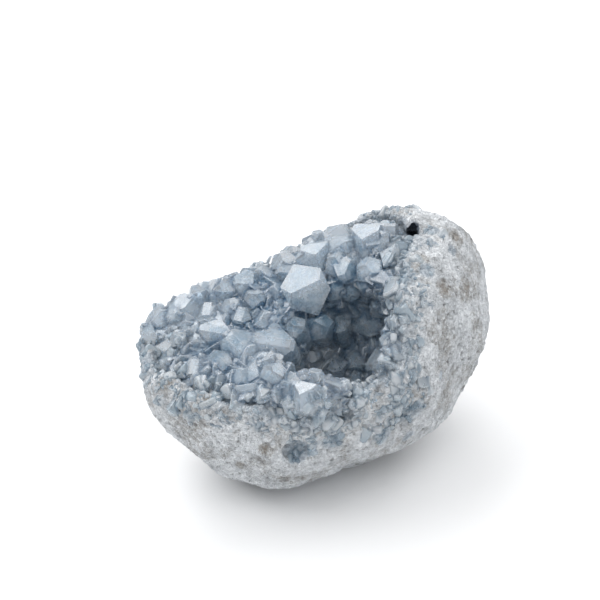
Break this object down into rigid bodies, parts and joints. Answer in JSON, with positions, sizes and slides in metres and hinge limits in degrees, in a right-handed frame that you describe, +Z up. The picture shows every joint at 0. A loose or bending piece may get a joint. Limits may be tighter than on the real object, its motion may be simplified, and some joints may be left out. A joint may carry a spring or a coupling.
{
  "type": "celestite geode",
  "caption": "Stone nodule broken open along its upper slope, with a deep hollow lined by pale blue celestite crystals. It rests on a worn flat.",
  "frame": {"origin": "middle of the stone's box, on the surface that it rests on", "axes": "+X along the long axis towards the fat, unbroken end, +Z up; the hollow opens upwards and towards -Y"},
  "size_m": [0.123, 0.0802, 0.0792],
  "materials": {
    "rind_stone": "pale grey-white granular rock, dull, with darker specks, small pits and a few brown stains",
    "celestite": "pale steel-blue crystal, glassy on its faces, clear at the points and milky at the roots"
  },
  "bodies": {
    "root": {"stone_rind": "rind_stone", "crystal_crust": "celestite"}
  },
  "joints": []
}
